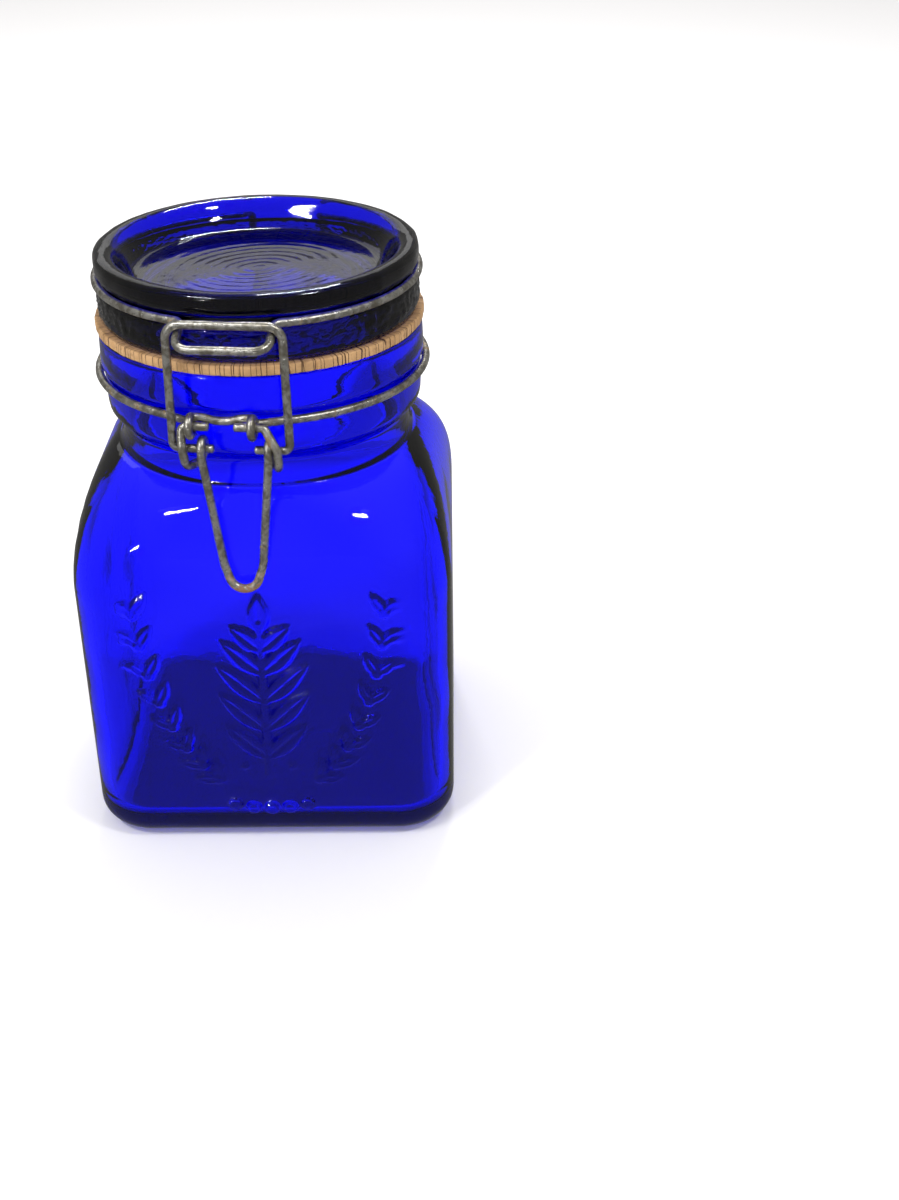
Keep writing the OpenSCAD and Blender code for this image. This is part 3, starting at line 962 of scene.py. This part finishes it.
# bent wire; places come from the joints
wire = {
    "r": jar["wireR"],
    "sides": 18,
    "step": 0.55,
    "bendStep": 0.35,
    "lumps": 0.045,       # unevenness of the zinc
    "lumpSpread": 0.25,
    "swellOver": 9,       # points that a thick or thin stretch takes
    "endIn": 0.72,        # chamfer of a cut end: its share of the radius, and its length
    "endOut": 0.28,
    "voxel": 0.28,
    "ringGap": (0.25, 0.15),      # between the glass and the neck wire, the lid wire
    "ringLead": 4.2,
    "pinGap": 0.08,
    "pinReach": 4.9,
    "sideGap": 0.25,
    "eyeSpan": 17.3,
    "eyeShift": -2.25,
    "eyePoints": 48,
    "bridgeFrom": 30.0,   # degrees round the eye from its top
    "bridgeLead": 2.8,
    "bridgeRise": 1.9,
    "bridgeHalf": 1.6,
    "bridgeIn": 2.4,
    "bridgeLow": 0.7,
    "bridgeBend": 4,
    "overCentre": 0.7,
    "underPin": 4.6,
    "hookEnd": 1.7,
    "tipGap": 2.0,
    "tipBend": 4.4,
    "tipSlant": 18.0,
    "tipShift": 4.75,
    "waistHalf": 5.6,
    "bailHalf": 15.9,
    "bailFoot": 0.5,
    "tongueHalf": 12.8,
    "tongueOut": 10.0,
    "tongueDip": 4.2,
    "tongueIn": 0.2,
    "hookGap": 0.3,
    "hingeLead": 5.0,
    "hingeEnd": 3.2,
    "hingeDrop": 1.2,
    "hingeGap": 0.6,
    "hingeReach": 4.6,
}
fulcrum = Vector(joints["lever_pivot"]["pos_m"]) / mm
wire["turn"] = math.atan2(fulcrum.x, -fulcrum.y)
wire["pivotY"] = math.hypot(fulcrum.x, fulcrum.y)
wire["pivotZ"] = fulcrum.z
wire["pinZ"] = Vector(joints["bail_pivot"]["pos_m"]).z / mm
wire["pinY"] = wire["overCentre"] - wire["pivotY"]
wire["eyeR"] = 2 * wire["r"] + wire["pinGap"]
wire["hookW"] = wire["eyeR"] + 0.05
wire["tipZ"] = (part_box("lever")[0].z / mm) + wire["r"]
wire["neckR"] = jar["collarR"] + wire["ringGap"][0] + wire["r"]
wire["lidR"] = lid["grooveR"] + wire["ringGap"][1] + wire["r"]


def bendWire(corners, bends):
    # points along a wire through its corners, each rounded with its own bend radius
    p = [Vector(c) for c in corners]
    path = [p[0]]
    for i in range(1, len(p) - 1):
        d1, d2 = (p[i] - p[i - 1]).normalized(), (p[i + 1] - p[i]).normalized()
        turn = d1.angle(d2)
        bend = bends[i - 1]
        start = p[i] - d1 * bend * math.tan(turn / 2)
        middle = p[i] + (d2 - d1).normalized() * bend / math.cos(turn / 2)
        axis = d1.cross(d2).normalized()
        arm = start - middle
        steps = max(3, math.ceil(bend * turn / wire["bendStep"]))
        for k in range(steps + 1):
            path.append(middle + Matrix.Rotation(turn * k / steps, 3, axis) @ arm)
    path.append(p[-1])
    return evenly([tuple(v) for v in path], wire["step"])


def arcWire(r, z, a, b):
    at = np.linspace(a, b, max(8, round(abs(b - a) * r / wire["step"])))
    return np.column_stack([r * np.cos(at), r * np.sin(at), np.full(len(at), z)])


def eyeWire(x):
    at = np.linspace(0, 2 * math.pi, wire["eyePoints"] + 1)[:-1]
    y = wire["eyeR"] * np.cos(at) - wire["pivotY"]
    z = wire["eyeR"] * np.sin(at) + wire["pivotZ"]
    return np.column_stack([np.full(len(at), x), y, z])


def directions(p, closed):
    ahead = np.roll(p, -1, 0) - np.roll(p, 1, 0)
    if not closed:
        ahead[0], ahead[-1] = p[1] - p[0], p[-1] - p[-2]
    return ahead / np.linalg.norm(ahead, axis=1)[:, None]


def cutEnd(made, faces, at, outward, base, last):
    # closes a cut end of a wire with a small chamfer
    sides, start = wire["sides"], len(made)
    rim = at + (made[base:base + sides] - at) * wire["endIn"] + outward * wire["endOut"]
    for i in range(sides):
        j = (i + 1) % sides
        quad = (base + j, base + i, start + i, start + j)
        faces.append(tuple(reversed(quad)) if last else quad)
    cap = tuple(start + i for i in range(sides))
    faces.append(cap if last else tuple(reversed(cap)))
    return np.vstack([made, rim])


def sweep(path, rng, closed=False):
    # a round tube along the path with slightly lumpy zinc on it
    p = np.asarray(path, float)
    n, sides, over = len(p), wire["sides"], wire["swellOver"]
    ahead = directions(p, closed)
    side = np.cross(ahead[0], [0.2, 0.3, 0.93])
    around = np.arange(sides) * 2 * math.pi / sides
    swell = np.convolve(rng.normal(0, 1, n + over - 1), np.ones(over) / over, "valid")
    points = []
    for i in range(n):
        side = side - ahead[i] * (side @ ahead[i])
        side /= np.linalg.norm(side)
        other = np.cross(ahead[i], side)
        lumps = rng.normal(0, wire["lumpSpread"], sides) + swell[i]
        lumps = (lumps + np.roll(lumps, 1) + np.roll(lumps, -1)) / 3
        r = wire["r"] * np.ones(sides) + wire["lumps"] * np.clip(lumps, -2, 1)
        points.append(p[i] + np.outer(np.cos(around) * r, side) + np.outer(np.sin(around) * r, other))
    faces = gridFaces(n, sides)
    made = np.vstack(points)
    last = (n - 1) * sides
    if closed:
        faces += [(last + i, last + (i + 1) % sides, (i + 1) % sides, i) for i in range(sides)]
        return made, faces
    made = cutEnd(made, faces, p[0], -ahead[0], 0, False)
    return cutEnd(made, faces, p[-1], ahead[-1], last, True), faces


def turnClamp(points):
    c, s = math.cos(wire["turn"]), math.sin(wire["turn"])
    p = np.asarray(points, float)
    return np.column_stack([p[:, 0] * c - p[:, 1] * s, p[:, 0] * s + p[:, 1] * c, p[:, 2]])


def weld(obj, mat):
    # joins the strands of a wire where they are welded
    skin = obj.modifiers.new("weld", "REMESH")
    skin.mode = "VOXEL"
    skin.voxel_size = wire["voxel"] * mm
    soften = obj.modifiers.new("soften", "SMOOTH")
    soften.factor = 0.5
    soften.iterations = 3
    depsgraph = bpy.context.evaluated_depsgraph_get()
    solid = bpy.data.meshes.new_from_object(obj.evaluated_get(depsgraph))
    obj.modifiers.clear()
    obj.data = solid
    solid.materials.clear()
    solid.materials.append(mat)
    solid.shade_smooth()


def wirePiece(name, strands, mat, body, node, seed):
    rng = np.random.default_rng(seed)
    points, faces = [], []
    for path, closed in strands:
        made, quads = sweep(path, rng, closed)
        base = sum(len(q) for q in points)
        points.append(made)
        faces += [tuple(base + i for i in f) for f in quads]
    obj = makePiece(name, turnClamp(np.vstack(points)), faces, mat, body, node)
    if len(strands) > 1:
        weld(obj, mat)


def leaveAngle(x, side):
    # where the neck wire leaves its ring along a tangent to reach the eye at x
    near = wire["pivotY"] - wire["eyeR"]
    return math.atan2(-near, x) + side * math.acos(wire["neckR"] / math.hypot(x, near))


def leadTo(x, side):
    a = leaveAngle(x, side)
    r, z = wire["neckR"], jar["wireZ"]
    ends = [(r * math.cos(a), r * math.sin(a), z), (x, wire["eyeR"] - wire["pivotY"], wire["pivotZ"])]
    return evenly(ends, wire["step"])


def eyePair(shift):
    # two eyes with a bridge between them
    y, z, eyeR = wire["pivotY"], wire["pivotZ"], wire["eyeR"]
    left, right = shift - wire["eyeSpan"] / 2, shift + wire["eyeSpan"] / 2
    lead, rise, half = wire["bridgeLead"], wire["bridgeRise"], wire["bridgeHalf"]
    inY, low, start = wire["bridgeIn"] - y, z + wire["bridgeLow"], math.radians(wire["bridgeFrom"])
    fromY, fromZ = eyeR * math.sin(start) - y, z + eyeR * math.cos(start)
    bridge = bendWire([
        (left, fromY, fromZ), (left + lead, rise - y, z + rise), (shift - half, inY, low),
        (shift + half, inY, low), (right - lead, rise - y, z + rise), (right, fromY, fromZ),
    ], [wire["bridgeBend"]] * 4)
    return [(eyeWire(left), True), (eyeWire(right), True), (bridge, False)]


def behind(strands):
    return [(np.asarray(p) * [-1, -1, 1], closed) for p, closed in strands]


def makeNeckWire():
    far, shift = wire["eyeSpan"] / 2, wire["eyeShift"]
    front = [shift - far, shift + far]
    back = [-far, far]
    strands = eyePair(shift) + [(leadTo(front[0], -1), False), (leadTo(front[1], 1), False)]
    strands += behind(eyePair(0) + [(leadTo(back[0], -1), False), (leadTo(back[1], 1), False)])
    r, z = wire["neckR"], jar["wireZ"]
    rightArc = arcWire(r, z, leaveAngle(front[1], 1), leaveAngle(back[0], -1) + math.pi)
    leftArc = arcWire(r, z, leaveAngle(back[1], 1) + math.pi, leaveAngle(front[0], -1) + 2 * math.pi)
    strands += [(rightArc, False), (leftArc, False)]
    wirePiece("neckWire", strands, neckZinc, "jar", "neck_wire", 21)


def tongueStart():
    # how far forward the tongue leaves the lid wire's ring
    return -math.sqrt(wire["lidR"] ** 2 - wire["tongueHalf"] ** 2) - wire["tongueIn"]


def tongueLoop(fromX):
    r, z, half = wire["lidR"], lid["wireZ"], wire["tongueHalf"]
    fromY, startY = -math.sqrt(r * r - fromX * fromX), tongueStart()
    tipY, tipZ = startY - wire["tongueOut"], z - wire["tongueDip"]
    return bendWire([
        (-fromX, fromY, z), (-half, startY, z), (-half, tipY, tipZ),
        (half, tipY, tipZ), (half, startY, z), (fromX, fromY, z),
    ], [2.4, 4.2, 4.2, 2.4])


def hingeLeg(s, legX, farX):
    # a leg behind the lid, down to the eye that it turns in; s is the side
    z, end = lid["wireZ"], wire["hingeEnd"]
    farY = math.sqrt(wire["lidR"] ** 2 - farX * farX)
    legY = ring["outR"] + wire["hingeGap"] + wire["r"]
    return bendWire([
        (s * farX, farY, z), (s * (farX - end), farY + end * farX / farY, z),
        (s * legX, legY, z - wire["hingeDrop"]), (s * legX, wire["pivotY"], wire["pivotZ"]),
        (s * (wire["eyeSpan"] / 2 - wire["hingeReach"]), wire["pivotY"], wire["pivotZ"]),
    ], [2, 2.4, 1.6])


def makeLidWire():
    r, z = wire["lidR"], lid["wireZ"]
    fromX = wire["tongueHalf"] + wire["ringLead"]
    legX = wire["eyeSpan"] / 2 + 2 * wire["r"] + wire["sideGap"]
    farX = legX + wire["hingeLead"]
    strands = [(tongueLoop(fromX), False)]
    strands += [(hingeLeg(s, legX, farX), False) for s in (-1, 1)]
    a, b = math.acos(fromX / r), math.acos(farX / r)
    strands.append((arcWire(r, z, -a, b), False))
    strands.append((arcWire(r, z, math.pi - b, math.pi + a), False))
    wirePiece("lidWire", strands, lidZinc, "lid", "lid_wire", 22)


def leverSide(stubX, armX, kneeX, legX, backX, hookX):
    # from the stub in its eye, down the arm and up through the hook, to the handle
    pinY, pinZ, d, w = wire["pinY"], wire["pinZ"], 2 * wire["r"], wire["hookW"]
    low, top = pinZ - wire["underPin"], pinZ + wire["eyeR"]
    return [
        (stubX, -wire["pivotY"], wire["pivotZ"]), (armX, -wire["pivotY"], wire["pivotZ"]),
        (kneeX, pinY - d - 0.3, pinZ + 1.2), (legX, pinY - d - 0.2, low), (backX, pinY + 1.5, low),
        (hookX, pinY + w, pinZ - 1.3), (hookX, pinY + w, top), (hookX, pinY - w, top),
        (hookX, pinY - w, pinZ - wire["hookEnd"]),
    ]


def handleTip(middle):
    # the legs close in to a round tip, whose corner lies below the wire
    slant, waist = math.radians(wire["tipSlant"]), wire["waistHalf"]
    tipY, topY = -jar["half"] - wire["tipGap"] - wire["r"], wire["pinY"] - wire["hookW"]
    long = wire["pinZ"] - wire["tipZ"]
    cornerZ = wire["tipZ"] - wire["tipBend"] * (1 / math.sin(slant) - 1)
    waistZ = cornerZ + waist / math.tan(slant)
    waistY, cornerY = (mix(tipY, topY, (z - wire["tipZ"]) / long) for z in (waistZ, cornerZ))
    return [
        (middle - waist, waistY, waistZ), (middle, cornerY, cornerZ), (middle + waist, waistY, waistZ),
    ]


def makeLever():
    left = wire["eyeShift"] - wire["eyeSpan"] / 2
    right = wire["eyeShift"] + wire["eyeSpan"] / 2
    d, eyeR, reachIn = 2 * wire["r"], wire["eyeR"], wire["pinReach"]
    a = leverSide(left + reachIn, left - d - 0.2, left - 2.4, left - 1.7, left + 1.5, left + 2.8)
    b = leverSide(right - reachIn, right + 3.2, right + 6.9, right + 7.2, right + 5.2, right + 4.3)
    corners = a + handleTip((left + right) / 2 + wire["tipShift"]) + b[::-1]
    half = [1.6, 3, 2, 2, 2, eyeR, eyeR, 8, 12]
    strands = [(bendWire(corners, half + [wire["tipBend"]] + half[::-1]), False)]
    wirePiece("clampLever", strands, leverZinc, "lever", "lever", 23)


def makeBail():
    half, d, y, z = wire["bailHalf"], 2 * wire["r"], wire["pinY"], wire["pinZ"]
    foot = half + wire["bailFoot"]
    startY = tongueStart()
    hookY = startY - wire["tongueOut"] / 2 + 0.1
    slope = math.atan2(wire["tongueDip"], wire["tongueOut"])
    hookZ = lid["wireZ"] - (startY - hookY) * math.tan(slope) + (d + wire["hookGap"]) / math.cos(slope)
    corners = [
        (-5.2, y, z), (-foot, y, z), (-half, hookY, hookZ),
        (half, hookY, hookZ), (foot, y, z), (6.8, y, z),
    ]
    strands = [(bendWire(corners, [1.8, 4, 4, 1.8]), False)]
    wirePiece("bail", strands, bailZinc, "bail", "bail", 24)


makeNeckWire()
makeLidWire()
makeLever()
makeBail()
print("wires ready")
